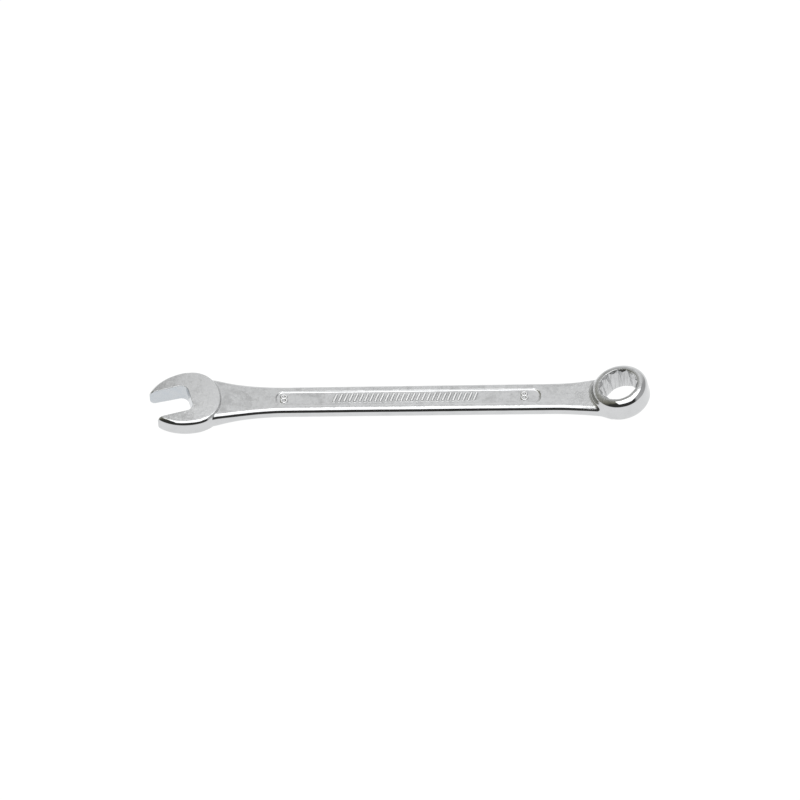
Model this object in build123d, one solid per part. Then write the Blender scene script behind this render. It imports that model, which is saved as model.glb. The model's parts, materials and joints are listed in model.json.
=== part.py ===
from build123d import *
import os
from math import cos, radians, sin

# Combination wrench for an 8 mm nut: one forging with an open jaw at one end
# and a tilted twelve-point ring at the other, written as the three sections
# open_end_head, shank and ring_head, which meet face to face.
# Frame: origin half way along the wrench, on the shank's centre line, at the
# surface it lies on.  +X towards the ring, +Z up.  Millimetres and degrees.

# Fit
NUT_SIZE = 8.0
FIT_CLEARANCE = 0.1
OPENING = NUT_SIZE + FIT_CLEARANCE

# Open end: an oval head, longer towards its jaws than towards the shank
HEAD_X = -50.43
HEAD_Y = 0.25
HEAD_SKEW = 15.0
HEAD_HALF_WIDTH = 8.6
HEAD_FRONT = 10.9
HEAD_REAR = 7.1
HEAD_THICKNESS = 4.8
HEAD_SHOULDER = 1.2
THROAT = 0.1
THROAT_CORNER = 1.9
JAW_REACH = 16.0

# Shank: flat faces and round sides; it widens and thickens into both heads
SHANK_THICKNESS = 2.9
SHANK_SIDE = 1.35
SHANK_HALF_JAW_END = 4.25
SHANK_HALF_RING_END = 4.38
NECK_X = -27.0
NECK_RADIUS = 72.0
NECK_END_X = -46.4
NECK_SWELL_X = -36.0
NECK_SWELL_RADIUS = 70.0
NECK_ROOT_X = -47.0
RING_NECK_X = 36.0
RING_NECK_RADIUS = 59.0
RING_ROOT_X = 49.8
RISE_X = 40.0
RISE_RADIUS = 160.0
RING_SWELL = 0.2

# Recessed panel in both flat faces of the shank, and what stands up in it:
# a size numeral at each end and a row of plain slanted bars between them
PANEL_START_X = -30.0
PANEL_END_X = 34.0
PANEL_HALF_WIDTH = 2.35
PANEL_DEPTH = 0.22
PANEL_CORNER = 1.6
RELIEF_HEIGHT = 0.2
NUMERAL_X = (-28.0, 30.0)
NUMERAL_RADII = (0.78, 0.88)
NUMERAL_STROKE = 0.42
BAR_START_X = -15.6
BAR_COUNT = 28
BAR_PITCH = 1.25
BAR_WIDTH = 0.5
BAR_LENGTH = 2.6
BAR_SLANT = 20.0

# Ring end: a round-shouldered ring, tilted so that it rises away from the shank
RING_X = 53.35
RING_TILT = 15.0
RING_RADIUS = 6.85
RING_THICKNESS = 6.3
RING_SHOULDER = 1.8
BORE_MOUTH = 4.8
BORE_TURN = 30.0

# Planes across the forging where its three sections meet
HEAD_CUT_X = -43.0
RING_CUT_X = 46.2

MID_Z = HEAD_THICKNESS / 2
HALF_SHANK = SHANK_THICKNESS / 2
CUT_DEPTH = 20.0
LONG = 200.0


def arc_rise(distance, radius):
    """How far an arc has left its tangent after a distance along it."""
    return radius - (radius**2 - distance**2) ** 0.5


def ring_centre_z():
    """Height at which the tilted ring's lowest point lies at z = 0."""
    across = (RING_RADIUS - RING_SHOULDER) * sin(radians(RING_TILT))
    along = (RING_THICKNESS / 2 - RING_SHOULDER) * cos(radians(RING_TILT))
    return across + along + RING_SHOULDER


def head_plane():
    """Plane of the head: x out of the mouth, origin at the oval's centre."""
    mouth = (-cos(radians(HEAD_SKEW)), -sin(radians(HEAD_SKEW)), 0)
    return Plane(origin=(HEAD_X, HEAD_Y, 0), x_dir=mouth, z_dir=(0, 0, 1))


def ring_plane():
    """Plane of the ring's middle, its normal along the bore."""
    tilt = radians(RING_TILT)
    return Plane(
        origin=(RING_X, 0, ring_centre_z()),
        x_dir=(cos(tilt), 0, sin(tilt)),
        z_dir=(-sin(tilt), 0, cos(tilt)),
    )


def head_blank():
    """The oval head before its jaws are cut, with its round shoulders."""
    with BuildSketch(head_plane()) as sketch:
        with BuildLine():
            EllipticalCenterArc((0, 0), HEAD_FRONT, HEAD_HALF_WIDTH, start_angle=-90, arc_size=180)
            EllipticalCenterArc((0, 0), HEAD_REAR, HEAD_HALF_WIDTH, start_angle=90, arc_size=180)
        make_face()
    blank = extrude(sketch.sketch, HEAD_THICKNESS)
    faces = blank.faces().sort_by(Axis.Z)
    return fillet(faces[0].edges() + faces[-1].edges(), HEAD_SHOULDER)


def jaw_gap():
    """The space between the jaws, with its rounded throat."""
    with BuildSketch() as sketch:
        with Locations((THROAT + JAW_REACH / 2, 0)):
            Rectangle(JAW_REACH, OPENING)
        throat = sketch.vertices().group_by(Axis.X)[0]
        fillet(throat, THROAT_CORNER)
    return extrude(head_plane() * sketch.sketch, CUT_DEPTH, both=True)


def beam_plan():
    """The shank and both necks seen from above."""
    neck_half = SHANK_HALF_JAW_END + arc_rise(NECK_X - NECK_END_X, NECK_RADIUS)
    ring_half = SHANK_HALF_RING_END + arc_rise(RING_ROOT_X - RING_NECK_X, RING_NECK_RADIUS)
    with BuildSketch() as sketch:
        with BuildLine():
            side = Line((NECK_X, SHANK_HALF_JAW_END), (RING_NECK_X, SHANK_HALF_RING_END))
            neck = TangentArc(side @ 0, (NECK_END_X, neck_half), tangent=(-1, 0))
            flare = TangentArc(side @ 1, (RING_ROOT_X, ring_half), tangent=(1, 0))
            Polyline(flare @ 1, (RING_ROOT_X, 0), (NECK_ROOT_X, 0), neck @ 1)
        make_face()
        mirror(about=Plane.XZ)
    return sketch.sketch


def beam_side():
    """The shank and both necks seen from the side."""
    swell = arc_rise(NECK_SWELL_X - NECK_ROOT_X, NECK_SWELL_RADIUS)
    rise = arc_rise(RING_ROOT_X - RISE_X, RISE_RADIUS)
    ends = []
    with BuildSketch(Plane.XZ) as sketch:
        with BuildLine():
            for up in (1, -1):
                flat = Line((NECK_SWELL_X, MID_Z + up * HALF_SHANK), (RISE_X, MID_Z + up * HALF_SHANK))
                neck_z = MID_Z + up * (HALF_SHANK + swell)
                ring_z = MID_Z + up * (HALF_SHANK + RING_SWELL) + rise
                neck = TangentArc(flat @ 0, (NECK_ROOT_X, neck_z), tangent=(-1, 0))
                ring = TangentArc(flat @ 1, (RING_ROOT_X, ring_z), tangent=(1, 0))
                ends.append((neck @ 1, ring @ 1))
            Line(ends[0][0], ends[1][0])
            Line(ends[0][1], ends[1][1])
        make_face()
    return sketch.sketch


def beam():
    """The shank and both necks as one bar with round sides."""
    bar = extrude(beam_plan(), CUT_DEPTH, both=True) & extrude(beam_side(), CUT_DEPTH, both=True)
    long_edges = [
        edge for edge in bar.edges()
        if abs(edge.tangent_at(0.5).X) > 0.6 and abs(edge.center().Y) > 1
    ]
    return fillet(long_edges, SHANK_SIDE)


def ring_blank():
    """The solid disc of the ring end, with its round shoulders, before the bore."""
    disc = Cylinder(RING_RADIUS, RING_THICKNESS)
    rims = disc.edges().filter_by(GeomType.CIRCLE)
    return ring_plane() * fillet(rims, RING_SHOULDER)


def ring_bore():
    """Twelve-point bore: two hexagons a half step apart, countersunk at both mouths."""
    with BuildSketch() as sketch:
        for turn in (0, BORE_TURN):
            RegularPolygon(OPENING / 2, 6, major_radius=False, rotation=turn)
    bore = extrude(sketch.sketch, CUT_DEPTH, both=True)
    mouth = Cone(0, BORE_MOUTH, BORE_MOUTH, align=(Align.CENTER, Align.CENTER, Align.MAX))
    mouth = Pos(0, 0, RING_THICKNESS / 2) * mouth
    return ring_plane() * (bore + mouth + mirror(mouth, about=Plane.XY))


def panel():
    """The long shallow recess, as a solid standing on its floor."""
    length = PANEL_END_X - PANEL_START_X
    with BuildSketch() as sketch:
        with Locations(((PANEL_START_X + PANEL_END_X) / 2, 0)):
            RectangleRounded(length, 2 * PANEL_HALF_WIDTH, PANEL_CORNER)
    return extrude(sketch.sketch, CUT_DEPTH)


def panel_relief():
    """The raised numerals and bars, as a solid standing on the recess's floor."""
    small, large = NUMERAL_RADII
    loops = ((small - NUMERAL_STROKE / 2, small), (NUMERAL_STROKE / 2 - large, large))
    with BuildSketch() as sketch:
        for x in NUMERAL_X:
            for y, radius in loops:
                with Locations((x, y)):
                    Circle(radius)
                    Circle(radius - NUMERAL_STROKE, mode=Mode.SUBTRACT)
        for index in range(BAR_COUNT):
            with Locations(Location((BAR_START_X + index * BAR_PITCH, 0, 0), BAR_SLANT)):
                RectangleRounded(BAR_WIDTH, BAR_LENGTH, BAR_WIDTH / 3)
    return extrude(sketch.sketch, RELIEF_HEIGHT)


def forging():
    """The whole wrench as one solid."""
    body = head_blank() + beam() + ring_blank()
    body = body - jaw_gap() - ring_bore()
    floor = HALF_SHANK - PANEL_DEPTH
    for turn in (0, 180):
        side = Pos(0, 0, MID_Z) * Rot(turn, 0, 0) * Pos(0, 0, floor)
        body = body - side * panel() + side * panel_relief()
    return body


def section(body, start_x, end_x):
    """The stretch of the forging between two planes across it."""
    slab = Box(end_x - start_x, LONG, LONG, align=(Align.MIN, Align.CENTER, Align.CENTER))
    return body & (Pos(start_x, 0, 0) * slab)


SECTIONS = {
    "open_end_head": (-LONG, HEAD_CUT_X),
    "shank": (HEAD_CUT_X, RING_CUT_X),
    "ring_head": (RING_CUT_X, LONG),
}

os.makedirs("parts", exist_ok=True)
wrench = forging()
for name, (start_x, end_x) in SECTIONS.items():
    export_step(section(wrench, start_x, end_x), f"parts/{name}.step")
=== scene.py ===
import functools
import itertools
import json
import math

import bmesh
import bpy
import numpy as np
from mathutils import Matrix, Vector


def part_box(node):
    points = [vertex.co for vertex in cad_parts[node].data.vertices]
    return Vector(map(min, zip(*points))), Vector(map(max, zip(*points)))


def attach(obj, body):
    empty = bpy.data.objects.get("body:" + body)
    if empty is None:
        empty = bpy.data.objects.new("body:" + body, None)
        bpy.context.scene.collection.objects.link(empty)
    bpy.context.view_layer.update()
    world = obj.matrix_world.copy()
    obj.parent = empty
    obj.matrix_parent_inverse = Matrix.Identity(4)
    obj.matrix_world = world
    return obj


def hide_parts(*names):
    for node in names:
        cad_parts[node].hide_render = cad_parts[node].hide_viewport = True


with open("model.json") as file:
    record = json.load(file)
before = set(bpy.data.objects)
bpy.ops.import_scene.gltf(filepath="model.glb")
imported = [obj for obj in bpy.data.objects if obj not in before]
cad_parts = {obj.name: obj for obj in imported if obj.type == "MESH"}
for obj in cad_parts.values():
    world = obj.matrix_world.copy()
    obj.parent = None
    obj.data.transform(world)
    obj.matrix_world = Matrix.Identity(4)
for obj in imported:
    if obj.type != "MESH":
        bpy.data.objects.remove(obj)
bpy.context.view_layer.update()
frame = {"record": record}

# Lengths are in millimetres, in the row's frame, but for the studio's, in metres.
MM = 0.001

# ---------------------------------------------------------------- dimensions
# EDGE, FOOT and FILLET say how wide the soft edge or fillet between two faces is.
MOUNTS = {mount["name"]: mount for mount in frame["record"]["mounts"]}
JAW = np.array(MOUNTS["open_jaw"]["pos_m"]) / MM
RING = np.array(MOUNTS["ring_socket"]["pos_m"]) / MM
RING_AXIS = np.array(MOUNTS["ring_socket"]["axis"])
HEAD_LOW, HEAD_HIGH = (np.array(corner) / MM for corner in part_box("open_end_head"))
SHANK_LOW, SHANK_HIGH = (np.array(corner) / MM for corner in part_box("shank"))
RING_LOW, RING_HIGH = (np.array(corner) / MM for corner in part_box("ring_head"))
CUT_X = (SHANK_LOW[0], SHANK_HIGH[0])

OPENING = 8.1

# Open end
HEAD_SKEW = math.radians(15)
HEAD_THICKNESS = HEAD_HIGH[2] - HEAD_LOW[2]
MID_Z = HEAD_THICKNESS / 2
HEAD_HALF_WIDTH = 8.6
HEAD_FRONT = 10.9
HEAD_REAR = 7.1
OVAL_DEPTH = 5.2
HEAD_SHOULDER = 1.3
HEEL_SHOULDER = 0.35
HEEL_START = 1.5
HEEL_FADE = 4.0
HEAD_GROUND = 0.05
HEAD_EDGE = 0.04
HEAD_DOME = 0.0035
HEAD_FILLET = 0.2
NUT_REACH = 4.7
GAP_LENGTH = 20.0
GAP_STRAIGHT = 5.0
GAP_EDGE = 0.1
THROAT = 0.1
THROAT_CORNER = 1.9
TIP_ROUND = 1.0
TIP_REACH = 9.4
TIP_FADE = 2.5
TIP_CLEARANCE = 2.4

# Shank and necks
ARC_LIMIT = 0.8
HALF_SHANK = 1.45
SIDE_ROUND = 1.5
SIDE_GROUND = 0.05
SIDE_EDGE = 0.05
HALF_WIDTH = (4.25, 4.38)
NECK_X = -27.0
NECK_RADIUS = 72.0
NECK_LEAN_LIMIT = 0.6
NECK_SWELL_X = -36.0
NECK_SWELL_RADIUS = 70.0
NECK_SWELL_LIMIT = 0.46
NECK_ROOT_X = -46.6
RING_NECK_X = 36.0
RING_NECK_RADIUS = 72.0
RISE_X = 40.0
RISE_RADIUS = 135.0
RING_SWELL_RADIUS = 300.0
RING_ROOT_X = 50.5

# Recessed panel and what stands up in it
PANEL_X = (-30.0, 34.0)
PANEL_HALF_WIDTH = 2.35
PANEL_DEPTH = 0.2
PANEL_CORNER = 2.0
PANEL_SHIFT = 0.22
PANEL_SLOPES = (math.radians(52), math.radians(30))
PANEL_FOOT = 0.2
PANEL_EDGE = 0.05
RELIEF_HEIGHT = 0.22
RELIEF_DRAFT = 0.5
RELIEF_REACH = 1.65
RELIEF_EDGE = 0.05
RELIEF_FOOT = 0.06
NUMERAL_X = (-28.0, 30.0)
NUMERAL_RADII = (0.82, 0.9)
NUMERAL_STROKE = 0.5
BAR_START_X = -15.6
BAR_COUNT = 28
BAR_PITCH = 1.25
BAR_SIZE = (0.62, 2.8)
BAR_SLANT = math.radians(20)

# Ring end
RING_RADIUS = 6.85
RING_THICKNESS = 6.3
RING_SHOULDER = 1.8
RING_FILLET = 1.0
BORE_MOUTH = 4.78
BORE_EDGE = 0.08
POINT_EDGE = 0.08
MOUTH_EDGE = 0.05

# Height of the skin's slow and quick waves
WAVES = (0.012, 0.004)

# Mesh: its pitch, the spans that slopes are measured over, and how points move
HEAD_PITCH = 0.12
SHANK_PITCH = 0.155
MARGIN_CELLS = 3
SETTLE_SPAN = 0.01
SETTLE_STEP = 0.1
SETTLE_ROUNDS = 3
RELAX_ROUNDS = 2
RESETTLE_ROUNDS = 2
LEAST_SLOPE = 0.05
NORMAL_SPAN = 0.02
CUT_TOLERANCE = 1e-4
TINY = 1e-9


# ------------------------------------------------------------ shape functions
def smooth_union(a, b, k):
    """Union of two distances with a fillet about k wide."""
    h = np.maximum(k - np.abs(a - b), 0) / k
    return np.minimum(a, b) - h * h * k / 4


def smooth_cut(a, b, k):
    """Distance a with b taken away, its new edges rounded about k wide."""
    return -smooth_union(-a, b, k)


def smooth_meet(a, b, k):
    """Where both distances are inside, with the edge between them rounded."""
    return -smooth_union(-a, -b, k)


def rounded(side, top, radius):
    """Two faces given by their distances, joined by a round edge of that radius."""
    corner = np.hypot(np.maximum(side + radius, 0), np.maximum(top + radius, 0))
    return corner + np.minimum(np.maximum(side, top) + radius, 0) - radius


def arc_rise(distance, radius):
    """How far an arc has left its tangent after a distance, none before its start."""
    run = np.minimum(np.maximum(distance, 0), ARC_LIMIT * radius)
    return radius - np.sqrt(radius**2 - run**2)


def box_2d(x, y, half_x, half_y, corner):
    """Distance to a rectangle with round corners."""
    dx = np.abs(x) - half_x + corner
    dy = np.abs(y) - half_y + corner
    outside = np.hypot(np.maximum(dx, 0), np.maximum(dy, 0))
    return outside + np.minimum(np.maximum(dx, dy), 0) - corner


def head_axes(x, y):
    """Distances out of the mouth and across it, from the head oval's centre."""
    mouth = np.array([-math.cos(HEAD_SKEW), -math.sin(HEAD_SKEW)])
    centre = JAW[:2] - NUT_REACH * mouth
    dx, dy = x - centre[0], y - centre[1]
    return dx * mouth[0] + dy * mouth[1], dx * mouth[1] - dy * mouth[0]


def head(x, y, z):
    """Open end: an oval with round shoulders and ground faces, and the jaw gap for it."""
    out, across = head_axes(x, y)
    reach = np.where(out > 0, HEAD_FRONT, HEAD_REAR)
    size = np.hypot(out / reach, across / HEAD_HALF_WIDTH) + TINY
    slope = np.hypot(out / reach**2, across / HEAD_HALF_WIDTH**2) / size + TINY
    oval = np.maximum((size - 1) / slope, -OVAL_DEPTH)
    gap = box_2d(out - THROAT - GAP_LENGTH / 2, across, GAP_LENGTH / 2, OPENING / 2, THROAT_CORNER)
    gap = np.where(out > THROAT + GAP_STRAIGHT, np.abs(across) - OPENING / 2, gap)
    inner = TIP_CLEARANCE * np.clip((TIP_REACH - out) / TIP_FADE, 0, 1) + gap
    plan = smooth_meet(oval, -inner, TIP_ROUND)
    heel = np.clip((-HEEL_START - out) / HEEL_FADE, 0, 1)
    shoulder = HEAD_SHOULDER + (HEEL_SHOULDER - HEAD_SHOULDER) * heel
    face = np.abs(z - MID_Z) - HEAD_THICKNESS / 2 + HEAD_DOME * (out**2 + across**2)
    blank = rounded(plan, face - HEAD_GROUND, shoulder)
    return smooth_meet(blank, face, HEAD_EDGE), gap


def beam(x, y, z):
    """Shank and both necks: flat faces, round sides."""
    along = np.clip((x - NECK_X) / (RING_NECK_X - NECK_X), 0, 1)
    half = HALF_WIDTH[0] + (HALF_WIDTH[1] - HALF_WIDTH[0]) * along
    half = half + arc_rise(NECK_X - x, NECK_RADIUS) + arc_rise(x - RING_NECK_X, RING_NECK_RADIUS)
    lean = np.clip((NECK_X - x) / NECK_RADIUS, 0, NECK_LEAN_LIMIT)
    lean = lean + np.clip((x - RING_NECK_X) / RING_NECK_RADIUS, 0, NECK_LEAN_LIMIT)
    side = (np.abs(y) - half) * np.cos(np.arcsin(lean))
    middle = MID_Z + arc_rise(x - RISE_X, RISE_RADIUS)
    swell = np.minimum(arc_rise(NECK_SWELL_X - x, NECK_SWELL_RADIUS), NECK_SWELL_LIMIT)
    swell = swell + arc_rise(x - RISE_X, RING_SWELL_RADIUS)
    face = np.abs(z - middle) - HALF_SHANK - swell
    bar = rounded(side, face - SIDE_GROUND, SIDE_ROUND)
    bar = smooth_meet(bar, face, SIDE_EDGE)
    ends = np.maximum(NECK_ROOT_X - x, x - RING_ROOT_X)
    return np.maximum(bar, ends)


def ring_axes(x, y, z):
    """Distances across the ring's axis, in two directions, and along it."""
    dx, dz = x - RING[0], z - RING[2]
    side = dx * RING_AXIS[2] - dz * RING_AXIS[0]
    along = dx * RING_AXIS[0] + dz * RING_AXIS[2]
    return side, y, along


def ring(x, y, z):
    """Ring end: a thick round-shouldered ring, without its bore."""
    u, v, along = ring_axes(x, y, z)
    radius = np.hypot(u, v)
    return rounded(radius - RING_RADIUS, np.abs(along) - RING_THICKNESS / 2, RING_SHOULDER)


def bore(x, y, z):
    """Twelve-point bore: two hexagons a half step apart, countersunk at both mouths."""
    u, v, along = ring_axes(x, y, z)
    hexagons = []
    for turn in (0, math.radians(30)):
        flats = [
            np.abs(u * math.cos(turn + step) + v * math.sin(turn + step)) - OPENING / 2
            for step in (0, math.radians(60), math.radians(120))
        ]
        hexagons.append(np.maximum(np.maximum(flats[0], flats[1]), flats[2]))
    star = smooth_union(hexagons[0], hexagons[1], POINT_EDGE)
    depth = RING_THICKNESS / 2 - np.abs(along)
    mouth = (np.hypot(u, v) - BORE_MOUTH + depth) * math.sqrt(0.5)
    return smooth_union(star, mouth, MOUTH_EDGE)


def relief(x, y):
    """Plan of the numerals and bars that stand up in the panel."""
    half_stroke = NUMERAL_STROKE / 2
    marks = np.full_like(x, np.inf)
    for numeral_x in NUMERAL_X:
        for radius, way in zip(NUMERAL_RADII, (1, -1)):
            middle = way * (radius - half_stroke)
            loop = np.hypot(x - numeral_x, y - middle) - radius + half_stroke
            marks = np.minimum(marks, np.abs(loop) - half_stroke)
    index = np.clip(np.round((x - BAR_START_X) / BAR_PITCH), 0, BAR_COUNT - 1)
    dx = x - BAR_START_X - index * BAR_PITCH
    u = dx * math.cos(BAR_SLANT) - y * math.sin(BAR_SLANT)
    v = dx * math.sin(BAR_SLANT) + y * math.cos(BAR_SLANT)
    bars = box_2d(u, v, BAR_SIZE[0] / 2, BAR_SIZE[1] / 2, BAR_SIZE[0] / 3)
    return np.minimum(marks, bars)


def panel_plan(x, y):
    """Plan of the recessed panel, negative inside."""
    middle = (PANEL_X[0] + PANEL_X[1]) / 2
    half = (PANEL_X[1] - PANEL_X[0]) / 2
    return box_2d(x - middle, y + PANEL_SHIFT, half, PANEL_HALF_WIDTH, PANEL_CORNER)


def with_panel(body, x, y, z):
    """The body with its panel sunk in both faces and the relief standing in it."""
    height = np.abs(z - MID_Z)
    y = np.where(z < MID_Z, -y, y)
    floor = HALF_SHANK - PANEL_DEPTH
    slope = np.where(y > 0, *PANEL_SLOPES)
    wall = panel_plan(x, y) * np.sin(slope) + (HALF_SHANK - height) * np.cos(slope)
    sunk = smooth_meet(wall, floor - height, PANEL_FOOT)
    body = smooth_cut(body, sunk, PANEL_EDGE)
    risen = height - floor
    marks = smooth_meet(relief(x, y) + RELIEF_DRAFT * risen, risen - RELIEF_HEIGHT, RELIEF_EDGE)
    return smooth_union(body, marks, RELIEF_FOOT)


def waviness(x, y, z):
    """The slight unevenness that forging dies and tumbling leave in the skin."""
    slow = np.sin(0.83 * x + 1.1 * y + 0.4) * np.sin(0.61 * x - 0.9 * z + 1.7)
    quick = np.sin(2.3 * x + 0.7 * y) * np.sin(1.9 * y - 1.3 * x + 0.6)
    return WAVES[0] * slow + WAVES[1] * quick


def forging(points):
    """Distance to the whole wrench's surface."""
    x, y, z = points[..., 0], points[..., 1], points[..., 2]
    blank, gap = head(x, y, z)
    bar = with_panel(beam(x, y, z), x, y, z)
    body = smooth_union(bar, blank, HEAD_FILLET)
    body = smooth_union(body, ring(x, y, z), RING_FILLET)
    body = smooth_cut(body + waviness(x, y, z), gap, GAP_EDGE)
    return smooth_cut(body, bore(x, y, z), BORE_EDGE)


# ---------------------------------------------------------------- mesh maker
def gradient(points, span):
    """Slope of the distance at each point, measured over a short span."""
    out = np.empty_like(points)
    for axis in range(3):
        step = np.zeros(3)
        step[axis] = span
        out[:, axis] = (forging(points + step) - forging(points - step)) / (2 * span)
    return out


def settle(points, rounds):
    """Moves points onto the surface."""
    for _ in range(rounds):
        slope = gradient(points, SETTLE_SPAN)
        squared = np.maximum((slope**2).sum(1), LEAST_SLOPE)
        move = slope * (forging(points) / squared)[:, None]
        size = np.linalg.norm(move, axis=1, keepdims=True)
        points = points - move * np.minimum(1, SETTLE_STEP / np.maximum(size, TINY))
    return points


def surface_net(low, high, step):
    """Points and quads of the surface inside a box, one point per grid cell it crosses."""
    counts = np.ceil((high - low) / step).astype(int) + 1
    axes = [low[i] + step * np.arange(counts[i]) for i in range(3)]
    grid = np.stack(np.meshgrid(*axes, indexing="ij"), -1)
    value = np.stack([forging(slab) for slab in grid])
    inside = value < 0
    cells = tuple(n - 1 for n in counts)
    places = np.zeros(cells + (3,))
    hits = np.zeros(cells)
    for one in itertools.product((0, 1), repeat=3):
        for axis in range(3):
            if one[axis]:
                continue
            two = tuple(one[i] + (i == axis) for i in range(3))
            pick_one = tuple(slice(one[i], one[i] + cells[i]) for i in range(3))
            pick_two = tuple(slice(two[i], two[i] + cells[i]) for i in range(3))
            crossed = inside[pick_one] != inside[pick_two]
            a, b = value[pick_one], value[pick_two]
            share = np.where(crossed, a / np.where(crossed, a - b, 1), 0)
            place = np.array(one, float) + share[..., None] * np.eye(3)[axis]
            places += np.where(crossed[..., None], place, 0)
            hits += crossed
    used = hits > 0
    number = np.full(cells, -1)
    number[used] = np.arange(used.sum())
    index = np.argwhere(used)
    points = low + step * (index + places[used] / hits[used][:, None])
    quads = []
    for axis in range(3):
        other = [i for i in range(3) if i != axis]
        pick = [slice(1, cells[i]) for i in range(3)]
        pick[axis] = slice(0, cells[axis])
        ahead = list(pick)
        ahead[axis] = slice(1, cells[axis] + 1)
        first, second = inside[tuple(pick)], inside[tuple(ahead)]
        spots = np.argwhere(first != second) + [int(i in other) for i in range(3)]
        leaving = first[first != second]
        ring_of_cells = []
        for da, db in ((0, 0), (1, 0), (1, 1), (0, 1)):
            cell = spots.copy()
            cell[:, other[0]] -= da
            cell[:, other[1]] -= db
            ring_of_cells.append(number[cell[:, 0], cell[:, 1], cell[:, 2]])
        quad = np.stack(ring_of_cells, 1)
        flip = leaving if axis != 1 else ~leaving
        quad[~flip] = quad[~flip][:, ::-1]
        quads.append(quad)
    return points, np.concatenate(quads)


def relax(points, quads):
    """Evens out the spacing of the points, keeping them on the surface."""
    for _ in range(RELAX_ROUNDS):
        near = np.zeros_like(points)
        count = np.zeros(len(points))
        for a, b in ((0, 1), (1, 2), (2, 3), (3, 0)):
            for one, two in ((a, b), (b, a)):
                np.add.at(near, quads[:, one], points[quads[:, two]])
                np.add.at(count, quads[:, one], 1)
        points = settle((points + near / count[:, None]) / 2, RESETTLE_ROUNDS)
    return points


def cut_square(mesh_edit, x, keep_above):
    """Trims the mesh at a plane across the wrench and closes it there."""
    everything = mesh_edit.verts[:] + mesh_edit.edges[:] + mesh_edit.faces[:]
    normal = (-1, 0, 0) if keep_above else (1, 0, 0)
    cut = bmesh.ops.bisect_plane(
        mesh_edit, geom=everything, dist=1e-5, plane_co=(x, 0, 0), plane_no=normal, clear_outer=True
    )
    rim = [item for item in cut["geom_cut"] if isinstance(item, bmesh.types.BMEdge)]
    bmesh.ops.contextual_create(mesh_edit, geom=rim)


def forging_piece(name, start_x, end_x, low, high, step):
    """One section of the forging as a closed mesh between two planes across it."""
    margin = MARGIN_CELLS * step
    points, quads = surface_net(low - margin, high + margin, step)
    points = relax(settle(points, SETTLE_ROUNDS), quads)
    mesh = bpy.data.meshes.new(name)
    mesh.from_pydata([tuple(p) for p in points], [], [tuple(int(i) for i in q) for q in quads])
    edit = bmesh.new()
    edit.from_mesh(mesh)
    for x, keep_above in ((start_x, True), (end_x, False)):
        if x is not None:
            cut_square(edit, x, keep_above)
    bmesh.ops.triangulate(edit, faces=[face for face in edit.faces if len(face.verts) > 4])
    edit.to_mesh(mesh)
    edit.free()
    finish_mesh(mesh, (start_x, end_x))
    piece = bpy.data.objects.new(name, mesh)
    bpy.context.scene.collection.objects.link(piece)
    return piece


def finish_mesh(mesh, cuts):
    """The surface's own normals, flat ones on the cut faces, and the change to metres."""
    points = np.empty(3 * len(mesh.vertices))
    mesh.vertices.foreach_get("co", points)
    slope = gradient(points.reshape(-1, 3), NORMAL_SPAN)
    normal = slope / np.maximum(np.linalg.norm(slope, axis=1, keepdims=True), TINY)
    mesh.polygons.foreach_set("use_smooth", [True] * len(mesh.polygons))
    corner = np.empty(len(mesh.loops), int)
    mesh.loops.foreach_get("vertex_index", corner)
    corner_normal = normal[corner]
    centres = np.empty(3 * len(mesh.polygons))
    mesh.polygons.foreach_get("center", centres)
    centre_x = centres.reshape(-1, 3)[:, 0]
    for polygon in mesh.polygons:
        offsets = [abs(centre_x[polygon.index] - x) for x in cuts if x is not None]
        if min(offsets) < CUT_TOLERANCE:
            corner_normal[list(polygon.loop_indices)] = polygon.normal
    mesh.vertices.foreach_set("co", points * MM)
    mesh.update()
    mesh.normals_split_custom_set(corner_normal.tolist())


# -------------------------------------------------------------------- finish
# Noise scales are in turns per metre, each with its detail.
CLOUD = (380.0, 4.0)
MOTTLE = (1300.0, 3.0)
GRAIN = (4200.0, 2.0)
STREAK = (2600.0, 3.0)
NOISE_ROUGHNESS = 0.6
NOISE_SPAN = (0.3, 0.7)
NOISE_CORE = (0.35, 0.65)

# Where the finishes, the painted shade and the painted highlight start and end, lengths in
# millimetres. A slant is the upright share of the surface's normal.
SATIN_SLANT = (0.965, 0.992)
SATIN_FRAY = (-0.006, 0.008)
ROOT_SLANT = (0.5, 0.75)
ROOT_START = (43.5, 45.5)
ROOT_END = (48.5, 51.0)
JAW_SLANT = (0.4, 0.7)
JAW_EDGE = (0.07, 0.13)
JAW_FADE = (-0.4, 0.0)
BORE_FADE = (0.05, 0.15)
HEAD_NECK = (-8.0, -7.9)
HEAD_OVAL = (0.93, 1.02)
# Where the painted neck shade fades out
NECK_FADE = (-36.0, -28.0)
# Painted highlight on the relief tops: how far below the tops it starts, how far in from the panel's
# ends, and its fades
RELIEF_HIGHLIGHT_DEPTH = (0.09, 0.04)
RELIEF_HIGHLIGHT_MARGIN = 1.0
RELIEF_HIGHLIGHT_FADE = (0.1, 0.05)

# Roughness, first that of the bright sides and then what is added to it
BRIGHT_ROUGHNESS = 0.05
SATIN_ROUGHNESS = (0.24, 0.34)
BORE_ROUGHNESS = 0.22
JAW_ROUGHNESS = 0.15

# Shares of the darker plate colour that each mark adds, at its least and most. The head's and the
# neck's are painted shade, the bore's streaks partly so.
GRAIN_SHADE = (-0.3, 0.4)
MOTTLE_SHADE = (-0.2, 0.4)
CLOUD_SHADE = (-0.45, 0.5)
# A mottled darker line along the edge of the blasted faces
SATIN_EDGE_LINE = (0.0, 2.4)
# Painted shade on the neck beside the open end
NECK_PAINTED_SHADE = 0.25
# Painted shade and light on the head's face: darker towards the jaw tips, lighter towards the shank
HEAD_PAINTED_SHADE = (-0.6, 0.7)
HEAD_PAINTED_SHADE_REACH = (-6.5, 9.0)
OVERALL_SHADE = (-0.12, 0.2)
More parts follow.
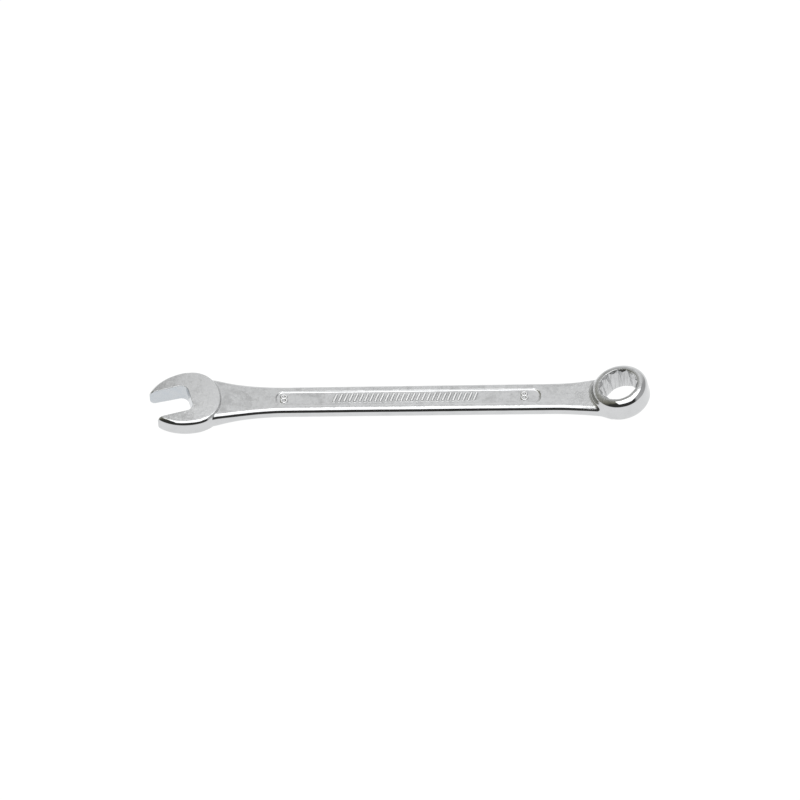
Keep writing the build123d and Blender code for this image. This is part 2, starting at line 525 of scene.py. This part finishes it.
# Random streaks in the bore that also darken it on average, as painted shade inside the bore
BORE_STREAK_AND_SHADE = (-0.8, 1.3)
STREAK_STRETCH = (1, 1, 0.06)
JAW_COLD = (0.3, 1.0)

PLATE = (0.612, 0.619, 0.626, 1)
DARK_PLATE = (0.46, 0.465, 0.47, 1)
COLD_PLATE = (0.53, 0.565, 0.60, 1)
# Painted highlight colour for the tops of the numerals and bars
RELIEF_HIGHLIGHT_PLATE = (0.92, 0.925, 0.93, 1)

# Depth of the bumps in millimetres, their strength, and the mottle's share of them
BUMP_DEPTH = 0.04
BUMP_STRENGTH = 0.65
MOTTLE_BUMP = 3.0


def feed(tree, made, terms):
    """Links a node's inputs to other nodes' outputs, or sets them to fixed values."""
    for key, term in terms:
        if isinstance(term, bpy.types.NodeSocket):
            tree.links.new(term, made.inputs[key])
        else:
            made.inputs[key].default_value = term
    return made


def maths(tree, operation, *terms):
    """A maths node's result."""
    made = tree.nodes.new("ShaderNodeMath")
    made.operation = operation
    return feed(tree, made, enumerate(terms)).outputs[0]


def summed(tree, *terms):
    """The terms added up."""
    return functools.reduce(lambda one, two: maths(tree, "ADD", one, two), terms)


def product(tree, *terms):
    """The terms multiplied together."""
    return functools.reduce(lambda one, two: maths(tree, "MULTIPLY", one, two), terms)


def vector_maths(tree, operation, *terms):
    """A vector maths node."""
    made = tree.nodes.new("ShaderNodeVectorMath")
    made.operation = operation
    return feed(tree, made, enumerate(terms))


def ranged(tree, value, low, high, to_low, to_high):
    """A value carried from one range to another, and held at its ends."""
    ends = (("From Min", low), ("From Max", high), ("To Min", to_low), ("To Max", to_high))
    made = feed(tree, tree.nodes.new("ShaderNodeMapRange"), ends)
    return feed(tree, made, [("Value", value)]).outputs[0]


def spread(tree, texture, to_low, to_high):
    """A noise's usual span carried to another range."""
    return ranged(tree, texture, *NOISE_SPAN, to_low, to_high)


def noise(tree, place, scale, detail):
    """A noise texture over a place."""
    terms = (("Vector", place), ("Scale", scale), ("Detail", detail), ("Roughness", NOISE_ROUGHNESS))
    return feed(tree, tree.nodes.new("ShaderNodeTexNoise"), terms).outputs["Fac"]


def mixed(tree, share, first, second):
    """A colour between two others."""
    made = tree.nodes.new("ShaderNodeMix")
    made.data_type = "RGBA"
    return feed(tree, made, (("Factor", share), ("A", first), ("B", second))).outputs["Result"]


def separated(tree, vector):
    """The three parts of a vector."""
    return feed(tree, tree.nodes.new("ShaderNodeSeparateXYZ"), [(0, vector)]).outputs


def millimetres(*lengths):
    """Lengths in millimetres, for the shaders, which work in metres."""
    return [length * MM for length in lengths]


def in_bore(tree, place):
    """One inside the ring's bore, nothing elsewhere."""
    offset = vector_maths(tree, "SUBTRACT", place, tuple(RING * MM)).outputs[0]
    arm = vector_maths(tree, "CROSS_PRODUCT", offset, tuple(RING_AXIS)).outputs[0]
    radius = vector_maths(tree, "LENGTH", arm).outputs["Value"]
    return ranged(tree, radius, *millimetres(*(BORE_MOUTH + edge for edge in BORE_FADE)), 1, 0)


def head_place(tree, x, y):
    """Distances out of the mouth and across it, in metres, as in head_axes."""
    mouth_x, mouth_y = -math.cos(HEAD_SKEW), -math.sin(HEAD_SKEW)
    dx = maths(tree, "SUBTRACT", x, (JAW[0] - NUT_REACH * mouth_x) * MM)
    dy = maths(tree, "SUBTRACT", y, (JAW[1] - NUT_REACH * mouth_y) * MM)
    out = summed(tree, product(tree, dx, mouth_x), product(tree, dy, mouth_y))
    across = maths(tree, "SUBTRACT", product(tree, dx, mouth_y), product(tree, dy, mouth_x))
    return out, across


def on_jaws(tree, out, across, up):
    """One on the ground flats of the jaws, nothing elsewhere."""
    edges = millimetres(*(OPENING / 2 + edge for edge in JAW_EDGE))
    between = ranged(tree, maths(tree, "ABSOLUTE", across), *edges, 1, 0)
    ahead = ranged(tree, out, *millimetres(*JAW_FADE), 0, 1)
    return product(tree, between, ahead, ranged(tree, up, *JAW_SLANT, 1, 0))


def on_head(tree, out, across):
    """One within the head's oval, nothing on the shank's side of it."""
    behind = maths(tree, "DIVIDE", maths(tree, "MINIMUM", out, 0.0), HEAD_REAR * MM)
    beside = maths(tree, "DIVIDE", across, HEAD_HALF_WIDTH * MM)
    size = summed(tree, product(tree, behind, behind), product(tree, beside, beside))
    near = ranged(tree, out, *millimetres(*HEAD_NECK), 0, 1)
    return product(tree, near, ranged(tree, size, *HEAD_OVAL, 1, 0))


def painted_relief_highlight(tree, x, y, z):
    """One on the tops of the numerals and bars, for their painted highlight, nothing elsewhere."""
    top = HALF_SHANK - PANEL_DEPTH + RELIEF_HEIGHT
    height = maths(tree, "ABSOLUTE", maths(tree, "SUBTRACT", z, MID_Z * MM))
    proud = ranged(tree, height, *millimetres(*(top - depth for depth in RELIEF_HIGHLIGHT_DEPTH)), 0, 1)
    middle = (PANEL_X[0] + PANEL_X[1]) / 2
    half = (PANEL_X[1] - PANEL_X[0]) / 2 - RELIEF_HIGHLIGHT_MARGIN
    along = maths(tree, "ABSOLUTE", maths(tree, "SUBTRACT", x, middle * MM))
    within = ranged(tree, along, *millimetres(half, half + RELIEF_HIGHLIGHT_FADE[0]), 1, 0)
    sides = millimetres(RELIEF_REACH, RELIEF_REACH + RELIEF_HIGHLIGHT_FADE[1])
    beside = ranged(tree, maths(tree, "ABSOLUTE", y), *sides, 1, 0)
    return product(tree, proud, beside, within)


def satin_share(tree, x, up, mottle):
    """One on the blasted faces and at the ring's root, nothing on the bright sides."""
    frayed = summed(tree, up, spread(tree, mottle, *SATIN_FRAY))
    faces = ranged(tree, frayed, *SATIN_SLANT, 0, 1)
    starting = ranged(tree, x, *millimetres(*ROOT_START), 0, 1)
    ending = ranged(tree, x, *millimetres(*ROOT_END), 1, 0)
    root = product(tree, starting, ending, ranged(tree, up, *ROOT_SLANT, 0, 1))
    return maths(tree, "MAXIMUM", faces, root)


def chrome(name):
    """Chrome plate: blasted and grainy on the flat faces, bright on the round sides, with painted
    shade on the head, neck and bore and a painted highlight on the relief tops.
    """
    material = bpy.data.materials.new(name)
    material.use_nodes = True
    tree = material.node_tree
    place = tree.nodes.new("ShaderNodeTexCoord").outputs["Object"]
    x, y, z = separated(tree, place)
    normal = separated(tree, tree.nodes.new("ShaderNodeNewGeometry").outputs["Normal"])
    up = maths(tree, "ABSOLUTE", normal["Z"])
    cloud, mottle, grain = (noise(tree, place, *kind) for kind in (CLOUD, MOTTLE, GRAIN))
    stretched = vector_maths(tree, "MULTIPLY", place, STREAK_STRETCH).outputs[0]
    streak = noise(tree, stretched, *STREAK)

    out, across = head_place(tree, x, y)
    head_mask = on_head(tree, out, across)
    jaw_mask = on_jaws(tree, out, across, up)
    bore_mask = in_bore(tree, place)
    satin = satin_share(tree, x, up, mottle)
    bright = maths(tree, "SUBTRACT", 1.0, satin)
    off_head = maths(tree, "SUBTRACT", 1.0, head_mask)
    # Painted shade on the neck beside the open end
    painted_neck_shade_mask = product(tree, off_head, ranged(tree, x, *millimetres(*NECK_FADE), 1, 0))

    rough = summed(
        tree,
        BRIGHT_ROUGHNESS,
        product(tree, satin, spread(tree, cloud, *SATIN_ROUGHNESS)),
        product(tree, bore_mask, BORE_ROUGHNESS),
        product(tree, jaw_mask, JAW_ROUGHNESS),
    )
    satin_shade = summed(
        tree,
        spread(tree, grain, *GRAIN_SHADE),
        spread(tree, mottle, *MOTTLE_SHADE),
        spread(tree, cloud, *CLOUD_SHADE),
        product(tree, painted_neck_shade_mask, NECK_PAINTED_SHADE),
        # Painted shade on the head's face, darker towards the jaw tips
        product(tree, head_mask, ranged(tree, out, *millimetres(*HEAD_PAINTED_SHADE_REACH), *HEAD_PAINTED_SHADE)),
        # A mottled darker line along the edge of the blasted faces
        product(tree, bright, ranged(tree, mottle, *NOISE_CORE, *SATIN_EDGE_LINE)),
    )
    shade = summed(
        tree,
        product(tree, satin, satin_shade),
        spread(tree, cloud, *OVERALL_SHADE),
        # Random streaks in the bore, darkening it on average as painted shade
        product(tree, bore_mask, ranged(tree, streak, *NOISE_CORE, *BORE_STREAK_AND_SHADE)),
    )
    colour = mixed(tree, shade, PLATE, DARK_PLATE)
    colour = mixed(tree, product(tree, jaw_mask, spread(tree, cloud, *JAW_COLD)), colour, COLD_PLATE)
    # Painted highlight on the tops of the numerals and bars
    colour = mixed(tree, painted_relief_highlight(tree, x, y, z), colour, RELIEF_HIGHLIGHT_PLATE)

    height = summed(tree, product(tree, mottle, MOTTLE_BUMP), grain)
    strength = product(tree, satin, BUMP_STRENGTH)
    bump_terms = (("Distance", BUMP_DEPTH * MM), ("Height", height), ("Strength", strength))
    bump = feed(tree, tree.nodes.new("ShaderNodeBump"), bump_terms).outputs[0]
    shader = tree.nodes["Principled BSDF"]
    look = (("Metallic", 1.0), ("Roughness", rough), ("Base Color", colour), ("Normal", bump))
    feed(tree, shader, look)
    return material


# -------------------------------------------------------------------- pieces
PIECES = (
    ("open_end_head", None, CUT_X[0], HEAD_LOW, HEAD_HIGH, HEAD_PITCH),
    ("shank", CUT_X[0], CUT_X[1], SHANK_LOW, SHANK_HIGH, SHANK_PITCH),
    ("ring_head", CUT_X[1], None, RING_LOW, RING_HIGH, HEAD_PITCH),
)
plating = chrome("satin_chrome")
for part, start_x, end_x, low, high, step in PIECES:
    piece = forging_piece("forged_" + part, start_x, end_x, low, high, step)
    piece.data.materials.append(plating)
    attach(piece, "root")
    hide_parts(part)

# -------------------------------------------------------------------- studio
FLOOR_HALF = 3.0
FLOOR_COLOUR = (0.1, 0.1, 0.1, 1)
FLOOR_GLOW = 0.97

CAMERA_DISTANCE = 0.93
CAMERA_ELEVATION = math.radians(48.5)
CAMERA_AZIMUTH = math.radians(-0.8)
CAMERA_ROLL = math.radians(0.12)
CAMERA_LENS = 173.3
CAMERA_NEAR = 0.01
CAMERA_TARGET = Vector((0, 0.00004, (MID_Z + 0.25) * MM))

# Azimuth from the camera's side in degrees, toward +X, and the light's colour there.
WALLS = (
    (-180, 0.98, 0.98, 0.98),
    (-160, 0.64, 0.64, 0.63),
    (-140, 0.36, 0.36, 0.33),
    (-90, 0.27, 0.265, 0.21),
    (-58, 0.05, 0.05, 0.045),
    (45, 0.045, 0.045, 0.045),
    (56, 0.55, 0.55, 0.55),
    (135, 0.46, 0.46, 0.46),
    (160, 0.86, 0.86, 0.86),
    (180, 1.04, 1.04, 1.04),
)
HORIZON = (math.sin(math.radians(5)), math.sin(math.radians(8)))
WHITE = (1, 1, 1, 1)

BOX_HEIGHT = 0.9
BOX_X = (-0.39, 0.45)
BOX_Y = (-0.654, 0.36)
BOX_RADIANCE = 1.75


def make_floor():
    """A plain pale floor that glows a little short of white."""
    edge = FLOOR_HALF
    mesh = bpy.data.meshes.new("floor")
    corners = [(-edge, -edge, 0), (edge, -edge, 0), (edge, edge, 0), (-edge, edge, 0)]
    mesh.from_pydata(corners, [], [(0, 1, 2, 3)])
    floor = bpy.data.objects.new("floor", mesh)
    bpy.context.scene.collection.objects.link(floor)
    material = bpy.data.materials.new("pale_floor")
    material.use_nodes = True
    look = (
        ("Base Color", FLOOR_COLOUR),
        ("Roughness", 1.0),
        ("Specular IOR Level", 0.0),
        ("Emission Color", WHITE),
        ("Emission Strength", FLOOR_GLOW),
    )
    feed(material.node_tree, material.node_tree.nodes["Principled BSDF"], look)
    mesh.materials.append(material)
    return floor


def make_camera():
    """The camera, on the photo's side of the wrench."""
    data = bpy.data.cameras.new("camera")
    data.lens = CAMERA_LENS
    data.clip_start = CAMERA_NEAR
    camera = bpy.data.objects.new("camera", data)
    bpy.context.scene.collection.objects.link(camera)
    bpy.context.scene.camera = camera
    back = Vector((
        math.sin(CAMERA_AZIMUTH) * math.cos(CAMERA_ELEVATION),
        -math.cos(CAMERA_AZIMUTH) * math.cos(CAMERA_ELEVATION),
        math.sin(CAMERA_ELEVATION),
    ))
    roll = Matrix.Rotation(-CAMERA_ROLL, 4, "Z").to_quaternion()
    camera.location = CAMERA_TARGET + back * CAMERA_DISTANCE
    camera.rotation_mode = "QUATERNION"
    camera.rotation_quaternion = (-back).to_track_quat("-Z", "Y") @ roll


def make_world():
    """Soft walls all round, their brightness by azimuth, and white below the horizon."""
    world = bpy.data.worlds.new("studio")
    bpy.context.scene.world = world
    world.use_nodes = True
    tree = world.node_tree
    side, ahead, up = separated(tree, tree.nodes.new("ShaderNodeTexCoord").outputs["Generated"])
    azimuth = maths(tree, "ARCTAN2", side, product(tree, ahead, -1.0))
    turn = ranged(tree, azimuth, -math.pi, math.pi, 0, 1)
    walls = feed(tree, tree.nodes.new("ShaderNodeValToRGB"), [("Fac", turn)])
    stops = walls.color_ramp.elements
    while len(stops) < len(WALLS):
        stops.new(1.0)
    for stop, (angle, red, green, blue) in zip(stops, WALLS):
        stop.position = (angle + 180) / 360
        stop.color = (red, green, blue, 1)
    colour = mixed(tree, ranged(tree, up, *HORIZON, 0, 1), WHITE, walls.outputs["Color"])
    feed(tree, tree.nodes["Background"], [("Color", colour)])


def make_softbox():
    """A soft rectangular light overhead."""
    data = bpy.data.lights.new("softbox", "AREA")
    data.shape = "RECTANGLE"
    data.size = BOX_X[1] - BOX_X[0]
    data.size_y = BOX_Y[1] - BOX_Y[0]
    data.energy = BOX_RADIANCE * math.pi * data.size * data.size_y
    light = bpy.data.objects.new("softbox", data)
    light.location = (sum(BOX_X) / 2, sum(BOX_Y) / 2, BOX_HEIGHT)
    bpy.context.scene.collection.objects.link(light)


floor = make_floor()
make_camera()
make_world()
make_softbox()
bpy.context.scene.view_settings.view_transform = "Standard"
